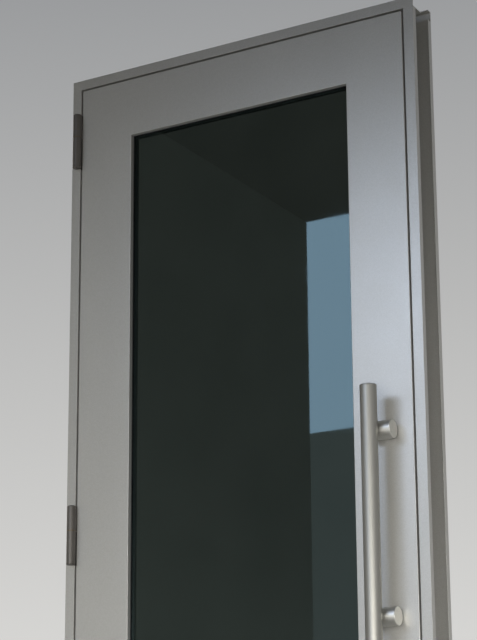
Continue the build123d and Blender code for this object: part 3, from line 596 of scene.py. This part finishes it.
def pale_world():
    """A pale backdrop, greyer overhead, that metal and glass mirror too, and a weaker even light on the
    part."""
    world = bpy.data.worlds.new("pale_studio")
    world.use_nodes = True
    tree = world.node_tree
    tree.nodes.clear()
    rays = add(tree, "LightPath").outputs
    seen = add(tree, "Math", {0: rays["Is Camera Ray"], 1: rays["Is Glossy Ray"]}, operation="MAXIMUM")
    seen = add(tree, "Math", {0: seen.outputs[0], 1: rays["Is Transmission Ray"]}, operation="MAXIMUM")
    upward = add(tree, "SeparateXYZ", {"Vector": add(tree, "TexCoord").outputs["Generated"]}).outputs["Z"]
    height = spread(tree, upward, 0.0, 1.0, GREYS_FROM, GREYS_TO)
    sky = blend_colours(tree, height, PALE, OVERHEAD)
    backdrop = add(tree, "Background", {"Color": sky, "Strength": 1.0})
    light = add(tree, "Background", {"Color": linear("#f4f3f0"), "Strength": ROOM_LIGHT})
    both = add(tree, "MixShader", {"Fac": seen.outputs[0]})
    tree.links.new(light.outputs[0], both.inputs[1])
    tree.links.new(backdrop.outputs[0], both.inputs[2])
    tree.links.new(both.outputs[0], add(tree, "OutputWorld").inputs["Surface"])
    bpy.context.scene.world = world


def stage_sheet(name, corners, material):
    """A flat sheet between four corners, that is part of the studio and not of the door."""
    mesh = bpy.data.meshes.new(name)
    mesh.from_pydata(corners, [], [(0, 1, 2, 3)])
    mesh.materials.append(material)
    made = bpy.data.objects.new(name, mesh)
    bpy.context.scene.collection.objects.link(made)
    return made


def floor():
    """A plain pale floor at the height the door stands on. It takes the door's shadow near it, and further
    out it runs into the backdrop's own colour for the camera."""
    material, tree, shader, place = start("pale_floor", "#dcdbd8", 0.0, 0.8)
    tone = spread(tree, noise(tree, place, 900.0), 0.0, 1.0)
    feed(tree, shader, Base_Color=blend_colours(tree, tone, "#dddcd9", "#d7d6d3"))
    away = add(tree, "VectorMath", {0: place}, operation="LENGTH").outputs["Value"]
    fade = spread(tree, away, FADE_START, 1.0, FADE_NEAR, FADE_FAR)
    seen = add(tree, "LightPath").outputs["Is Camera Ray"]
    share = add(tree, "Math", {0: fade, 1: seen}, operation="MULTIPLY").outputs[0]
    pale = add(tree, "Emission", {"Color": linear(PALE), "Strength": 1.0}).outputs[0]
    both = add(tree, "MixShader", {"Fac": share})
    tree.links.new(shader.outputs[0], both.inputs[1])
    tree.links.new(pale, both.inputs[2])
    tree.links.new(both.outputs[0], tree.nodes["Material Output"].inputs["Surface"])
    reach = FLOOR_REACH
    stage_sheet("floor", [(-reach, -reach, 0), (reach, -reach, 0), (reach, reach, 0), (-reach, reach, 0)],
                material)


def flag(name, corners, light, dark):
    """A sheet of cloth near the door, out of the camera's sight, that shades it and shows in its gloss."""
    material, tree, shader, place = start(name + "_cloth", light, 0.0, 0.9)
    tone = spread(tree, noise(tree, place, 300.0), 0.0, 1.0)
    feed(tree, shader, Base_Color=blend_colours(tree, tone, light, dark))
    stage_sheet(name, corners, material).visible_camera = False


def soft_box(name, at, to, width, height, power, colour, beam=180.0):
    """A rectangular lamp that faces a point and isn't seen by the camera itself. A honeycomb grid on it can
    narrow its beam, given in degrees."""
    data = bpy.data.lights.new(name, "AREA")
    data.shape = "RECTANGLE"
    data.size, data.size_y = width, height
    data.energy = power
    data.spread = math.radians(beam)
    data.color = linear(colour)[:3]
    lamp = bpy.data.objects.new(name, data)
    bpy.context.scene.collection.objects.link(lamp)
    lamp.location = at
    lamp.rotation_euler = (Vector(to) - Vector(at)).to_track_quat("-Z", "Y").to_euler()
    lamp.visible_camera = False


def camera():
    """The photograph's camera: its place, its line of sight, its roll and the rise of its frame."""
    forward = Vector(CAMERA_SIGHT).normalized()
    level = forward.cross(Vector((0, 0, 1))).normalized()
    right = Matrix.Rotation(math.radians(CAMERA_ROLL), 3, forward) @ level
    up = right.cross(forward)
    data = bpy.data.cameras.new("camera")
    data.sensor_width = CAMERA_SENSOR
    data.lens = CAMERA_LENS
    data.shift_y = CAMERA_RISE
    eye = bpy.data.objects.new("camera", data)
    bpy.context.scene.collection.objects.link(eye)
    turned = Matrix((right, up, -forward)).transposed().to_4x4()
    eye.matrix_world = Matrix.Translation(Vector(CAMERA_AT)) @ turned
    bpy.context.scene.camera = eye


pale_world()
floor()
soft_box("high_front", at=(-2.52, -9.0, 5.60), to=(-2.52, 0.0, 5.60), width=4.74, height=3.54,
         power=290.0, colour="#cfe0fb")
soft_box("front", at=(1.9, -3.1, 0.66), to=(0.8, 0.0, 0.62), width=6.0, height=1.26,
         power=33.5, colour="#fffcf5", beam=68.0)
soft_box("back", at=(-2.5, 4.0, 3.0), to=(0.0, 0.0, 1.2), width=5.0, height=4.5,
         power=220.0, colour="#fffaf3")
flag("high_flag", [(FLAG_LEFT, FLAG_NEAR, FLAG_TOP), (FLAG_RIGHT, FLAG_NEAR, FLAG_TOP),
                   (FLAG_RIGHT, FLAG_FAR, FLAG_TOP), (FLAG_LEFT, FLAG_FAR, FLAG_TOP)],
     light="#54534f", dark="#4e4d4a")
flag("side_flag", [(FLAG_LEFT, FLAG_NEAR, FLAG_FOOT), (FLAG_LEFT, FLAG_FAR, FLAG_FOOT),
                   (FLAG_LEFT, FLAG_FAR, FLAG_TOP), (FLAG_LEFT, FLAG_NEAR, FLAG_TOP)],
     light="#e0dcd1", dark="#d6d2c7")
camera()
bpy.context.scene.view_settings.view_transform = "Standard"
